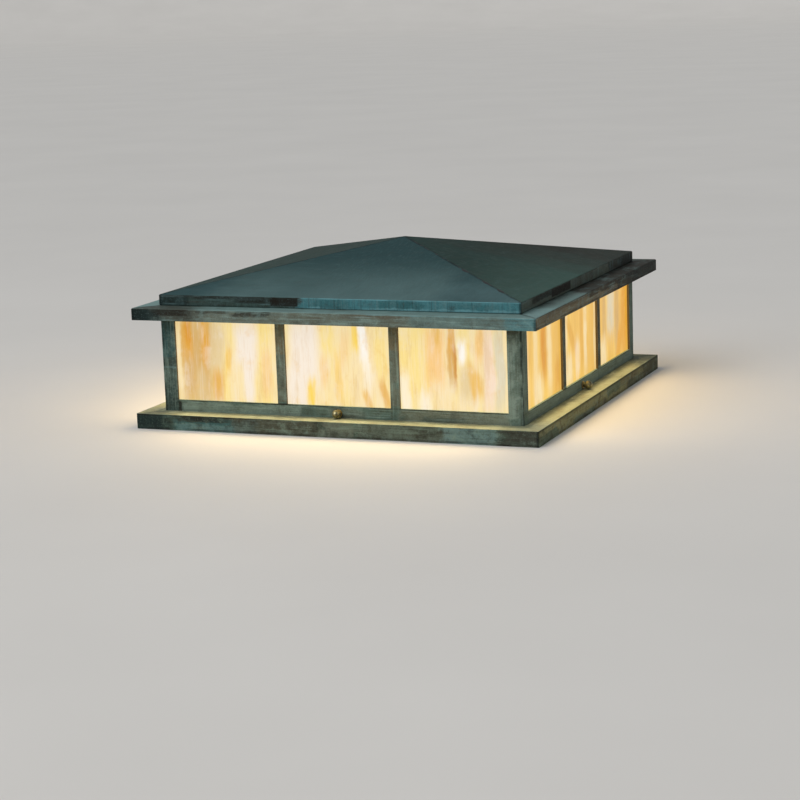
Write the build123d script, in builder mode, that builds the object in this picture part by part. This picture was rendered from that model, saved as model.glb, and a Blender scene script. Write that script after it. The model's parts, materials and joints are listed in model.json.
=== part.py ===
from build123d import *
from math import asin, degrees
import os

# Square pier mount light. The origin is the centre of the underside, +Z is up, and the front faces -Y.
# Driving dimensions, in millimetres.

# Folded brass sheet
sheet = 1.2
bend_radius = 2.0

# Base: a flat plate inside a skirt
base_size = 610.0
skirt_height = 22.0
anchor_gap = 35.0
anchor_hole = 8.0
spacer_diameter = 16.0

# Bushing for the supply wires, in the middle of the base plate
bushing_bore = 16.0
bushing_wall = 2.0
bushing_play = 0.1
bushing_flange_diameter = 28.0
bushing_flange = 2.0
bushing_barb = 1.0
bushing_tail = 4.0

# Lantern body: corner posts, rails, muntins and glass
body_inset = 31.5
body_height = 152.4
post_width = 21.5
post_wall = 3.2
post_edge_radius = 0.8
rail_thickness = 3.2
sill_height = 16.5
head_height = 17.4
muntin_width = 14.0
glass_thickness = 3.0
glass_lap = 5.0
pane_gap = 2.0
pane_names = ("left", "centre", "right")

# Bent clips that hold the glass
clip_width = 10.0
clip_wall = 0.8
clip_leg = 6.0
clip_lip = 7.0
clip_inset = 30.0

# Cornice and roof
cornice_overhang = 30.5
cornice_drop = 17.4
cornice_seat = 18.5
cornice_lip = 10.0
roof_overhang = 0.5
eave_height = 16.0
roof_rise = 54.0
roof_flange = 15.0
rivet_diameter = 4.0
rivet_head_diameter = 7.0
rivet_head_height = 1.6
rivet_head_taper = 30.0
rivet_inset = 10.0
rivet_pitch = 200.0
rivets_per_side = 3

# Curb that locates the lantern, and the thumb screws that hold it
curb_gap = 1.4
curb_wall = 1.6
curb_foot = 12.0
curb_headroom = 1.2
screw_diameter = 5.0
screw_length = 14.0
screw_fit = 0.1
screw_point = 0.6
nut_width = 8.0
nut_length = 4.5
knob_diameter = 12.0
knob_clearance = 0.8
knob_gap = 1.5
knob_neck_diameter = 7.0
washer_diameter = 11.0
washer_thickness = 1.0
washer_play = 0.2
slot_play = 0.7

# Wiring cover on the base plate
cover_size = 290.0
cover_height = 24.0
cover_flange = 12.0
cover_screw_diameter = 4.0
cover_screw_head_diameter = 8.0
cover_screw_head_height = 2.4
cover_screw_length = 5.0
screw_hole_play = 0.1

# Lampholders and lamps
lamp_spacing = 210.0
holder_diameter = 40.0
holder_foot_diameter = 46.0
holder_foot = 6.0
holder_height = 38.0
holder_lip_radius = 2.0
lead_hole = 20.0
lamp_base_diameter = 26.0
lamp_base_length = 26.0
lamp_base_fit = 0.4
lamp_contact_diameter = 10.0
lamp_contact_height = 3.0
lamp_seat_gap = 0.3
globe_diameter = 60.0
globe_length = 82.0
globe_neck_inset = 0.6
globe_wall = 0.8

# Terminal block, leads and earth screw under the wiring cover
block_length = 64.0
block_width = 22.0
block_height = 16.0
block_offset = 61.0
block_ways = 4
block_rows = 2
block_screw_diameter = 5.0
block_screw_depth = 4.0
lead_diameter = 2.6
lead_height = 5.0
lead_spacing = 12.0
lead_pitch = 16.0
lead_straight = 20.0
lead_bend = 7.0
earth_screw_offset = 60.0
earth_screw_diameter = 4.0
earth_screw_head = 9.0
earth_screw_head_height = 3.2
earth_screw_length = 5.0

# Heights
base_top = skirt_height
sill_top = base_top + sill_height
cornice_underside = base_top + body_height
cornice_top = cornice_underside + sheet
head_bottom = cornice_underside - head_height
eave_top = cornice_top + eave_height
apex = eave_top + roof_rise
glass_bottom = sill_top - glass_lap
glass_top = head_bottom + glass_lap
glass_middle = (glass_bottom + glass_top) / 2
cover_top = base_top + cover_height
screw_axis = base_top + knob_diameter / 2 + knob_clearance
curb_height = glass_bottom - clip_wall - curb_headroom - base_top

# Distances of upright faces from the middle of the light
plate_size = base_size - 2 * sheet
body_size = base_size - 2 * body_inset
half_body = body_size / 2
glass_face = half_body - post_wall
glass_back = glass_face - glass_thickness
rail_face = glass_face + rail_thickness
rail_length = body_size - 2 * post_width
curb_face = glass_face - curb_gap
curb_back = curb_face - curb_wall
cornice_face = half_body + cornice_overhang
cornice_edge = half_body - cornice_seat
eave_face = half_body + roof_overhang
anchor_spacing = cover_size + 2 * anchor_gap
washer_face = rail_face + washer_thickness

# Bays between posts and muntins
pane_count = len(pane_names)
bay_width = (rail_length - (pane_count - 1) * muntin_width) / pane_count
bay_pitch = bay_width + muntin_width
pane_width = bay_pitch - pane_gap

# Cross-section of the front side: the first axis points outwards and the second up
front_section = Plane(origin=(0, 0, 0), x_dir=(0, -1, 0), z_dir=(-1, 0, 0))
# Upright planes through the corners, each facing the front side
left_mitre = Plane(origin=(0, 0, 0), z_dir=(1, -1, 0))
right_mitre = Plane(origin=(0, 0, 0), z_dir=(-1, -1, 0))

sides = {"front": 0, "right": 90, "back": 180, "left": 270}
corners = {"front_right": 0, "back_right": 90, "back_left": 180, "front_left": 270}


def save(piece, name):
    piece.label = name
    export_step(piece, f"parts/{name}.step")


def save_turned(piece, name, places):
    for place, angle in places.items():
        save(piece.rotate(Axis.Z, angle), f"{name}_{place}")


def on_all_sides(piece):
    return Compound([piece.rotate(Axis.Z, angle) for angle in sides.values()])


os.makedirs("parts", exist_ok=True)

# Base plate with its wiring hole, anchor holes and the holes for the screws of the wiring cover
bushing_hole = bushing_bore + 2 * bushing_wall + 2 * bushing_play
cover_screw_spacing = cover_size + cover_flange
cover_screw_hole = cover_screw_diameter + 2 * screw_hole_play
with BuildPart() as base_plate:
    with BuildSketch(Plane.XY.offset(base_top - sheet)):
        Rectangle(plate_size, plate_size)
        Circle(bushing_hole / 2, mode=Mode.SUBTRACT)
        with GridLocations(anchor_spacing, anchor_spacing, 2, 2):
            Circle(anchor_hole / 2, mode=Mode.SUBTRACT)
        with GridLocations(cover_screw_spacing, cover_screw_spacing, 2, 2):
            Circle(cover_screw_hole / 2, mode=Mode.SUBTRACT)
        with Locations((-earth_screw_offset, 0)):
            Circle(earth_screw_diameter / 2 + screw_hole_play, mode=Mode.SUBTRACT)
    extrude(amount=sheet)
save(base_plate.part, "base_plate")

# Skirt round the plate, with rounded corners and a softened top edge
with BuildPart() as base_skirt:
    with BuildSketch():
        Rectangle(base_size, base_size)
        Rectangle(plate_size, plate_size, mode=Mode.SUBTRACT)
    extrude(amount=skirt_height)
    outer_corners = base_skirt.edges().filter_by(Axis.Z).sort_by_distance((0, 0, skirt_height / 2))[-4:]
    fillet(outer_corners, bend_radius)
    outer_rim = base_skirt.faces().sort_by(Axis.Z)[-1].outer_wire()
    fillet(outer_rim.edges(), sheet / 2)
save(base_skirt.part, "base_skirt")

# Spacer tubes that carry the plate where it is anchored
with BuildPart() as anchor_spacers:
    with BuildSketch():
        with GridLocations(anchor_spacing, anchor_spacing, 2, 2):
            Circle(spacer_diameter / 2)
            Circle(anchor_hole / 2, mode=Mode.SUBTRACT)
    extrude(amount=base_top - sheet)
save(anchor_spacers.part, "anchor_spacers")

# Snap bushing in the wiring hole
bushing_radius = bushing_bore / 2
sleeve_radius = bushing_radius + bushing_wall
plate_underside = base_top - sheet
with BuildPart() as wiring_bushing:
    with BuildSketch(Plane.XZ):
        with BuildLine():
            Polyline(
                (bushing_radius, plate_underside - bushing_tail),
                (sleeve_radius, plate_underside - bushing_tail),
                (sleeve_radius + bushing_barb, plate_underside),
                (sleeve_radius, plate_underside),
                (sleeve_radius, base_top),
                (bushing_flange_diameter / 2, base_top),
                (bushing_flange_diameter / 2, base_top + bushing_flange),
                (bushing_radius, base_top + bushing_flange),
                close=True,
            )
        make_face()
    revolve(axis=Axis.Z)
    fillet(wiring_bushing.edges().group_by(Axis.Z)[-1].sort_by(SortBy.LENGTH)[-1], bushing_flange / 2)
save(wiring_bushing.part, "wiring_bushing")

# Curb: four angles inside the sill, each with a hole for its thumb screw
screw_radius = screw_diameter / 2
screw_bore = screw_diameter + 2 * screw_fit
with BuildPart() as curb_angle:
    with BuildSketch(front_section):
        with Locations((curb_face, base_top)):
            Rectangle(curb_wall, curb_height, align=(Align.MAX, Align.MIN))
            Rectangle(curb_foot, curb_wall, align=(Align.MAX, Align.MIN))
    extrude(amount=curb_face, both=True)
    split(bisect_by=left_mitre)
    split(bisect_by=right_mitre)
    with BuildSketch(Plane.XZ.offset(curb_back)):
        with Locations((0, screw_axis)):
            Circle(screw_bore / 2)
    extrude(amount=curb_wall, mode=Mode.SUBTRACT)
save(on_all_sides(curb_angle.part), "curb_angles")

# Nuts on the back of the curb, one for each thumb screw
with BuildPart() as screw_nut:
    with BuildSketch(Plane.XZ.offset(curb_back)):
        with Locations((0, screw_axis)):
            RegularPolygon(nut_width / 2, 6, major_radius=False)
            Circle(screw_bore / 2, mode=Mode.SUBTRACT)
    extrude(amount=-nut_length)
save(on_all_sides(screw_nut.part), "screw_nuts")

# Wiring cover: an inverted tray with a flange, screwed to the plate, that carries the lampholders
with BuildPart() as wiring_cover:
    with BuildSketch(Plane.XY.offset(base_top)):
        Rectangle(cover_size, cover_size)
    extrude(amount=cover_height)
    top_edges = wiring_cover.faces().sort_by(Axis.Z)[-1].edges()
    fillet(top_edges, bend_radius)
    offset(amount=-sheet, openings=wiring_cover.faces().sort_by(Axis.Z)[0])
    with BuildSketch(Plane.XY.offset(base_top)):
        Rectangle(cover_size + 2 * cover_flange, cover_size + 2 * cover_flange)
        Rectangle(cover_size, cover_size, mode=Mode.SUBTRACT)
        with GridLocations(cover_screw_spacing, cover_screw_spacing, 2, 2):
            Circle(cover_screw_hole / 2, mode=Mode.SUBTRACT)
    extrude(amount=sheet)
    with BuildSketch(Plane.XY.offset(cover_top)):
        with GridLocations(lamp_spacing, lamp_spacing, 2, 2):
            Circle(lead_hole / 2)
    extrude(amount=-sheet, mode=Mode.SUBTRACT)
save(wiring_cover.part, "wiring_cover")

# Pan-head screws of the wiring cover
cover_screw_seat = base_top + sheet
with BuildPart() as cover_screws:
    with BuildSketch(Plane.XY.offset(cover_screw_seat)):
        with GridLocations(cover_screw_spacing, cover_screw_spacing, 2, 2):
            Circle(cover_screw_head_diameter / 2)
    extrude(amount=cover_screw_head_height)
    head_rims = cover_screws.edges().group_by(Axis.Z)[-1]
    fillet(head_rims, cover_screw_head_height / 2)
    with BuildSketch(Plane.XY.offset(cover_screw_seat)):
        with GridLocations(cover_screw_spacing, cover_screw_spacing, 2, 2):
            Circle(cover_screw_diameter / 2)
    extrude(amount=-cover_screw_length)
save(cover_screws.part, "cover_screws")

# Ceramic lampholders, each with a socket for the lamp base
holder_top = cover_top + holder_height
socket_radius = lamp_base_diameter / 2 + lamp_base_fit
with BuildPart() as lampholders:
    with BuildSketch(Plane.XY.offset(cover_top)):
        with GridLocations(lamp_spacing, lamp_spacing, 2, 2):
            Circle(holder_foot_diameter / 2)
    extrude(amount=holder_foot)
    with BuildSketch(Plane.XY.offset(cover_top)):
        with GridLocations(lamp_spacing, lamp_spacing, 2, 2):
            Circle(holder_diameter / 2)
    extrude(amount=holder_height)
    fillet(lampholders.edges().group_by(Axis.Z)[-1], holder_lip_radius)
    with BuildSketch(Plane.XY.offset(holder_top)):
        with GridLocations(lamp_spacing, lamp_spacing, 2, 2):
            Circle(socket_radius)
    extrude(amount=-(lamp_base_length + lamp_seat_gap), mode=Mode.SUBTRACT)
save(lampholders.part, "lampholders")

# Terminal block beside the wiring hole, with a screw well for each lead
with BuildPart() as terminal_block:
    with BuildSketch(Plane.XY.offset(base_top)):
        with Locations((0, block_offset)):
            Rectangle(block_length, block_width)
    extrude(amount=block_height)
    with Locations((0, block_offset, base_top + block_height)):
        with GridLocations(lead_pitch, block_width / block_rows, block_ways, block_rows):
            Hole(block_screw_diameter / 2, depth=block_screw_depth)
save(terminal_block.part, "terminal_block")


# Leads: each drops from a lampholder through the cover and turns to the terminal block
def make_lead(start, entry, straight):
    wire_height = base_top + lead_height
    start_x, start_y = start
    entry_x, entry_y = entry
    with BuildPart() as lead:
        with BuildLine() as route:
            FilletPolyline(
                (start_x, start_y, cover_top),
                (start_x, start_y, wire_height),
                (entry_x, entry_y + straight, wire_height),
                (entry_x, entry_y, wire_height),
                radius=lead_bend,
            )
        with BuildSketch(Plane(origin=(start_x, start_y, cover_top), z_dir=(0, 0, -1))):
            Circle(lead_diameter / 2)
        sweep()
    return lead.part


leads = []
for end in (1, -1):
    block_face = block_offset + end * block_width / 2
    for hand in (1, -1):
        holder_x = hand * lamp_spacing / 2
        holder_y = end * lamp_spacing / 2
        live_start = (holder_x, holder_y + end * lead_spacing / 2)
        neutral_start = (holder_x, holder_y - end * lead_spacing / 2)
        live_entry = (hand * lead_pitch / 2, block_face)
        neutral_entry = (hand * (block_ways - 1) / 2 * lead_pitch, block_face)
        leads.append(make_lead(live_start, live_entry, end * (lead_straight + lead_spacing)))
        leads.append(make_lead(neutral_start, neutral_entry, end * lead_straight))
save(Compound(leads), "lamp_leads")

# Earth screw in the base plate
with BuildPart() as earth_screw:
    with BuildSketch(Plane.XY.offset(base_top)):
        with Locations((-earth_screw_offset, 0)):
            RegularPolygon(earth_screw_head / 2, 6)
    extrude(amount=earth_screw_head_height)
    with BuildSketch(Plane.XY.offset(base_top)):
        with Locations((-earth_screw_offset, 0)):
            Circle(earth_screw_diameter / 2)
    extrude(amount=-earth_screw_length)
save(earth_screw.part, "earth_screw")

# Lamps: a screw base with its contact, and a hollow opal globe
lamp_shell_top = holder_top
lamp_contact_bottom = lamp_shell_top - lamp_base_length
lamp_base_radius = lamp_base_diameter / 2
contact_radius = lamp_contact_diameter / 2
lamp_places = GridLocations(lamp_spacing, lamp_spacing, 2, 2).locations
with BuildPart() as lamp_base:
    with BuildSketch(Plane.XZ):
        with BuildLine():
            Polyline(
                (0, lamp_contact_bottom),
                (contact_radius, lamp_contact_bottom),
                (contact_radius, lamp_contact_bottom + lamp_contact_height / 2),
                (lamp_base_radius, lamp_contact_bottom + 2 * lamp_contact_height),
                (lamp_base_radius, lamp_shell_top),
                (0, lamp_shell_top),
                close=True,
            )
        make_face()
    revolve(axis=Axis.Z)

globe_radius = globe_diameter / 2
globe_middle = lamp_shell_top + globe_length - globe_radius
neck_radius = lamp_base_radius - globe_neck_inset
with BuildPart() as lamp_globe:
    with BuildSketch(Plane.XZ):
        with BuildLine():
            flare = Spline(
                (neck_radius, lamp_shell_top),
                (globe_radius, globe_middle),
                tangents=((0, 1), (0, 1)),
            )
            crown = CenterArc((0, globe_middle), globe_radius, 0, 90)
            Polyline(crown @ 1, (0, lamp_shell_top), flare @ 0)
        make_face()
    revolve(axis=Axis.Z)
    offset(amount=-globe_wall, openings=lamp_globe.faces().sort_by(Axis.Z)[0])

for number, place in enumerate(lamp_places, start=1):
    save(lamp_base.part.moved(place), f"lamp_base_{number}")
    save(lamp_globe.part.moved(place), f"lamp_globe_{number}")

# Corner posts of brass angle
with BuildPart() as corner_post:
    with BuildSketch(Plane.XY.offset(base_top)):
        with Locations((half_body, -half_body)):
            Rectangle(post_width, post_width, align=(Align.MAX, Align.MIN))
        with Locations((glass_face, -glass_face)):
            Rectangle(post_width, post_width, align=(Align.MAX, Align.MIN), mode=Mode.SUBTRACT)
    extrude(amount=body_height)
    post_corner = (half_body, -half_body, base_top + body_height / 2)
    fillet(corner_post.edges().filter_by(Axis.Z).sort_by_distance(post_corner)[0], post_edge_radius)
save_turned(corner_post.part, "corner_post", corners)

# Sill rails, each with a slot that is open below, so that the lantern lifts off the screws
slot_width = screw_diameter + 2 * slot_play
with BuildPart() as sill_rail:
    with BuildSketch(Plane.XZ.offset(glass_face)):
        with Locations((0, base_top)):
            Rectangle(rail_length, sill_height, align=(Align.CENTER, Align.MIN))
            Rectangle(slot_width, screw_axis - base_top, align=(Align.CENTER, Align.MIN), mode=Mode.SUBTRACT)
        with Locations((0, screw_axis)):
            Circle(slot_width / 2, mode=Mode.SUBTRACT)
    extrude(amount=rail_thickness)
save_turned(sill_rail.part, "sill_rail", sides)

# Head rails behind the cornice
with BuildPart() as head_rail:
    with BuildSketch(Plane.XZ.offset(glass_face)):
        with Locations((0, head_bottom)):
            Rectangle(rail_length, head_height, align=(Align.CENTER, Align.MIN))
    extrude(amount=rail_thickness)
save(on_all_sides(head_rail.part), "head_rails")

# Muntins between the panes
with BuildPart() as muntins:
    with BuildSketch(Plane.XZ.offset(glass_face)):
        with Locations((0, (sill_top + head_bottom) / 2)):
            with GridLocations(bay_pitch, 1, pane_count - 1, 1):
                Rectangle(muntin_width, head_bottom - sill_top)
    extrude(amount=rail_thickness)
save(on_all_sides(muntins.part), "muntins")

# Glass panes behind the rails and muntins
for index, pane_name in enumerate(pane_names):
    pane_x = (index - (pane_count - 1) / 2) * bay_pitch
    with BuildPart() as glass_pane:
        with BuildSketch(Plane.XZ.offset(glass_back)):
            with Locations((pane_x, glass_middle)):
                Rectangle(pane_width, glass_top - glass_bottom)
        extrude(amount=glass_thickness)
    for side, angle in sides.items():
        save(glass_pane.part.rotate(Axis.Z, angle), f"glass_{side}_{pane_name}")

# Glass clips: a foot under the pane, a leg on the rail and a lip behind the glass
clip_back = glass_back - clip_wall
with BuildPart() as lower_clip:
    with BuildSketch(front_section):
        with Locations((glass_face, glass_bottom)):
            Rectangle(clip_wall, clip_leg + clip_wall, align=(Align.MAX, Align.MAX))
            Rectangle(glass_face - clip_back, clip_wall, align=(Align.MAX, Align.MAX))
        with Locations((clip_back, glass_bottom - clip_wall)):
            Rectangle(clip_wall, clip_lip + clip_wall, align=(Align.MIN, Align.MIN))
    extrude(amount=clip_width / 2, both=True)
upper_clip = lower_clip.part.mirror(Plane.XY.offset(glass_middle))

clips = []
for index in range(pane_count):
    pane_x = (index - (pane_count - 1) / 2) * bay_pitch
    for hand in (1, -1):
        clip_place = Location((pane_x + hand * (pane_width / 2 - clip_inset), 0, 0))
        clips += [lower_clip.part.moved(clip_place), upper_clip.moved(clip_place)]
save(on_all_sides(Compound(clips)), "glass_clips")

# Cornice: four mitred strips, each with a turned-down fascia and an upturned lip round the opening
rivet_line = eave_face - rivet_inset
rivet_hole = rivet_diameter + 2 * screw_hole_play
overrun = bend_radius
with BuildPart() as cornice:
    with BuildSketch(front_section):
        with BuildLine():
            FilletPolyline(
                (cornice_face, cornice_top - cornice_drop),
                (cornice_face, cornice_top),
                (cornice_edge + sheet, cornice_top),
                (cornice_edge + sheet, cornice_top + cornice_lip),
                radius=bend_radius,
            )
            offset(amount=sheet, side=Side.LEFT)
        make_face()
    extrude(amount=cornice_face + overrun, both=True)
    split(bisect_by=left_mitre)
    split(bisect_by=right_mitre)
    with BuildSketch(Plane.XY.offset(cornice_underside)):
        with Locations((0, -rivet_line)):
            with GridLocations(rivet_pitch, 1, rivets_per_side, 1):
                Circle(rivet_hole / 2)
    extrude(amount=sheet, mode=Mode.SUBTRACT)
save_turned(cornice.part, "cornice", sides)

# Roof panels: a triangle with a turned-down eave and a flange riveted to the cornice
roof_slope = roof_rise / eave_face
with BuildPart() as roof_panel:
    with BuildSketch(front_section):
        with BuildLine():
            FilletPolyline(
                (eave_face - roof_flange, cornice_top),
                (eave_face, cornice_top),
                (eave_face, eave_top),
                (-overrun, apex + overrun * roof_slope),
                radius=bend_radius,
            )
            offset(amount=sheet, side=Side.LEFT)
        make_face()
    extrude(amount=eave_face + overrun, both=True)
    split(bisect_by=left_mitre)
    split(bisect_by=right_mitre)
    with BuildSketch(Plane.XY.offset(cornice_top)):
        with Locations((0, -rivet_line)):
            with GridLocations(rivet_pitch, 1, rivets_per_side, 1):
                Circle(rivet_hole / 2)
    extrude(amount=sheet, mode=Mode.SUBTRACT)
save_turned(roof_panel.part, "roof_panel", sides)

# Rivets between the roof flanges and the cornice, headed on both faces
with BuildPart() as roof_rivets:
    with BuildSketch(Plane.XY.offset(cornice_underside)):
        with Locations((0, -rivet_line)):
            with GridLocations(rivet_pitch, 1, rivets_per_side, 1):
                Circle(rivet_diameter / 2)
    extrude(amount=2 * sheet)
    for seat, direction in ((cornice_underside, -1), (cornice_top + sheet, 1)):
        with BuildSketch(Plane.XY.offset(seat)):
            with Locations((0, -rivet_line)):
                with GridLocations(rivet_pitch, 1, rivets_per_side, 1):
                    Circle(rivet_head_diameter / 2)
        extrude(amount=direction * rivet_head_height, taper=rivet_head_taper)
save(on_all_sides(roof_rivets.part), "roof_rivets")

# Thumb screws: a ball knob on a short neck, turned in one piece with the shank
knob_radius = knob_diameter / 2
knob_neck_radius = knob_neck_diameter / 2
knob_middle = washer_face + knob_gap + knob_radius
neck_angle = 180 - degrees(asin(knob_neck_radius / knob_radius))
shank_end = washer_face - screw_length
with BuildPart() as thumb_screw:
    with BuildSketch(front_section):
        with BuildLine():
            ball = CenterArc((knob_middle, screw_axis), knob_radius, 0, neck_angle)
            Polyline(
                ball @ 1,
                (washer_face, screw_axis + knob_neck_radius),
                (washer_face, screw_axis + screw_radius),
                (shank_end + screw_point, screw_axis + screw_radius),
                (shank_end, screw_axis + screw_radius - screw_point),
                (shank_end, screw_axis),
                ball @ 0,
            )
        make_face()
    revolve(axis=Axis((0, 0, screw_axis), (0, -1, 0)))
save_turned(thumb_screw.part, "thumb_screw", sides)

# Washers under the knobs
with BuildPart() as screw_washer:
    with BuildSketch(Plane.XZ.offset(rail_face)):
        with Locations((0, screw_axis)):
            Circle(washer_diameter / 2)
            Circle(screw_radius + washer_play, mode=Mode.SUBTRACT)
    extrude(amount=washer_thickness)
save_turned(screw_washer.part, "screw_washer", sides)
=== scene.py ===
import json
import math
import random

import bmesh
import bpy
from mathutils import Matrix, Vector, noise


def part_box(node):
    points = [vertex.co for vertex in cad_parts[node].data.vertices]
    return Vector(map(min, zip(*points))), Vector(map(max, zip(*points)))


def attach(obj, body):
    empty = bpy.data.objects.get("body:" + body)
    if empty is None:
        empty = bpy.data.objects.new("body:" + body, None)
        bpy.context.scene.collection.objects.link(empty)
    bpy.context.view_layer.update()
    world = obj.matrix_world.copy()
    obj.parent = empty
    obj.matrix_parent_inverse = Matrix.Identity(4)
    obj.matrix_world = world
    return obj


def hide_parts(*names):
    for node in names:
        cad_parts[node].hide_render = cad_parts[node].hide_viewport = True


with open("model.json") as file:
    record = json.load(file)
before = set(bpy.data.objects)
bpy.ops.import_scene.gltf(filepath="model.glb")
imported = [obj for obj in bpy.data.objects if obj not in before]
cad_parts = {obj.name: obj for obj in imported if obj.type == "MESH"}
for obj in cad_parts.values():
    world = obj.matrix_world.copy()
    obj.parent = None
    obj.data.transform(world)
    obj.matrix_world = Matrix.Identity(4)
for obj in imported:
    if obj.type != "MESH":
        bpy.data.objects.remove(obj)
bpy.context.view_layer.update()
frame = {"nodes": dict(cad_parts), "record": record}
nodes = frame["nodes"]

# Lengths are metres in the part's frame, or millimetres times MM: +Z is up, and the front faces -Y.
MM = 0.001

# Camera of the photograph, fitted to the corners of the light: pixels, degrees and metres
PHOTO_PIXELS = 800
FOCAL_PIXELS = 2163.4
SENSOR_MM = 36.0
CAMERA_AZIMUTH = 22.128
CAMERA_ELEVATION = 10.926
CAMERA_ROLL = -2.046
CAMERA_DISTANCE = 3.2908
CAMERA_RIGHT = -0.0164
CAMERA_UP = -0.0043
CAMERA_REACH = 500.0

# Sizes read from the frame, and two that its boxes don't give
ROOF_LOW, ROOF_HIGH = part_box("roof_panel_front")
HALF_ROOF = -ROOF_LOW[1]
CORNICE_TOP = ROOF_LOW[2]
CORNICE_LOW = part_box("cornice_front")[0][2]
APEX = ROOF_HIGH[2]
BASE_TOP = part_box("base_skirt")[1][2]
SILL_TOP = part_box("sill_rail_front")[1][2]
GLASS_FACE = -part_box("glass_front_centre")[0][1]
FASCIA_HEIGHT = 16 * MM
BAR_THICKNESS = 3.2 * MM
EAVE_TOP = CORNICE_TOP + FASCIA_HEIGHT

# Studio light, which looks at the middle of the object
STUDIO_WHITE = (1.0, 0.99, 0.97)
ROOM_COLOUR = (0.92, 0.96, 1.0, 1.0)
ROOM_STRENGTH = 0.42
LIGHT_AIM = Vector((0.0, 0.0, 0.12))

# Light thrown by the panes of one side, in watts: it starts just before the glass and ends below its top
GLOW_POWER = 0.9
GLOW_COLOUR = (1.0, 0.76, 0.42)
GLOW_GAP = 0.2 * MM
GLOW_HEAD = 12 * MM

# Grid and ripple of a pane, with its swells per metre along it and up it
PANE_COLUMNS = 60
PANE_ROWS = 44
RIPPLE_DEPTH = 0.35 * MM
SWELLS_ALONG = 45
SWELLS_UP = 20

# Edges and threads
SHARP_ANGLE = math.radians(50)
FILED_ANGLE = math.radians(40)
FILED_WIDTH = 0.5 * MM
THREAD_PITCH = 0.8 * MM

# Turn of each side from the front, in degrees, and the panes of a side
SIDES = {"front": 0, "right": 90, "back": 180, "left": 270}
PANES = ("left", "centre", "right")


def add_object(name, data):
    """A new object of the scene, with its mesh, camera or light."""
    made = bpy.data.objects.new(name, data)
    bpy.context.scene.collection.objects.link(made)
    return made


def give(piece, material):
    """Makes a material the only one of a piece."""
    piece.data.materials.clear()
    piece.data.materials.append(material)


def turn_to(side):
    """The turn that takes the front to a side."""
    return Matrix.Rotation(math.radians(SIDES[side]), 4, "Z")


def facing(side):
    """The direction that a side looks in."""
    return Matrix.Rotation(math.radians(SIDES[side]), 3, "Z") @ Vector((0, -1, 0))


def bridge(form, rings):
    """Joins rings of as many points by faces, from each ring to the next."""
    for first, second in zip(rings, rings[1:]):
        for index in range(len(first)):
            after = (index + 1) % len(first)
            form.faces.new((first[index], first[after], second[after], second[index]))


def finished_piece(form, name, material):
    """Turns a form into a smooth object with its material, and frees the form."""
    bmesh.ops.recalc_face_normals(form, faces=form.faces)
    mesh = bpy.data.meshes.new(name)
    form.to_mesh(mesh)
    form.free()
    mesh.polygons.foreach_set("use_smooth", [True] * len(mesh.polygons))
    mesh.set_sharp_from_angle(angle=SHARP_ANGLE)
    piece = add_object(name, mesh)
    give(piece, material)
    return piece


# Camera, lights and floor


def add_camera():
    """The photograph's camera, which looks at the origin but for a small shift right and up."""
    azimuth = math.radians(CAMERA_AZIMUTH)
    elevation = math.radians(CAMERA_ELEVATION)
    roll = math.radians(CAMERA_ROLL)
    forward = Vector((
        -math.sin(azimuth) * math.cos(elevation),
        math.cos(azimuth) * math.cos(elevation),
        -math.sin(elevation),
    ))
    right = Vector((math.cos(azimuth), math.sin(azimuth), 0.0))
    up = right.cross(forward)
    place = -forward * CAMERA_DISTANCE + right * CAMERA_RIGHT + up * CAMERA_UP
    rolled_right = right * math.cos(roll) + up * math.sin(roll)
    rolled_up = up * math.cos(roll) - right * math.sin(roll)
    data = bpy.data.cameras.new("photo_camera")
    data.sensor_width = SENSOR_MM
    data.lens = FOCAL_PIXELS / PHOTO_PIXELS * SENSOR_MM
    data.clip_end = CAMERA_REACH
    camera = add_object("photo_camera", data)
    turn = Matrix((rolled_right, rolled_up, -forward)).transposed().to_4x4()
    camera.matrix_world = Matrix.Translation(place) @ turn
    bpy.context.scene.camera = camera


def add_area_light(name, place, size, energy, colour):
    """A round soft light that looks at the middle of the object."""
    data = bpy.data.lights.new(name, "AREA")
    data.shape = "DISK"
    data.size = size
    data.energy = energy
    data.color = colour
    light = add_object(name, data)
    light.location = place
    aim = LIGHT_AIM - Vector(place)
    light.rotation_euler = aim.to_track_quat("-Z", "Y").to_euler()


def add_sun(name, place, strength, spread, colour):
    """A wide soft light that falls evenly on the object and the whole floor."""
    data = bpy.data.lights.new(name, "SUN")
    data.energy = strength
    data.angle = math.radians(spread)
    data.color = colour
    sun = add_object(name, data)
    sun.rotation_euler = (-Vector(place)).to_track_quat("-Z", "Y").to_euler()


def add_stage():
    """The soft light and the pale floor of the studio."""
    world = bpy.data.worlds.new("studio")
    world.use_nodes = True
    background = world.node_tree.nodes["Background"]
    background.inputs["Color"].default_value = ROOM_COLOUR
    background.inputs["Strength"].default_value = ROOM_STRENGTH
    bpy.context.scene.world = world
    bpy.context.scene.view_settings.view_transform = "Standard"

    add_sun("soft_sun", place=(-1.2, -2.0, 2.2), strength=1.5, spread=50.0, colour=STUDIO_WHITE)
    add_area_light("key_light", place=(-1.6, -3.4, 2.2), size=2.0, energy=30.0, colour=STUDIO_WHITE)

    studio_floor()


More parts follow.
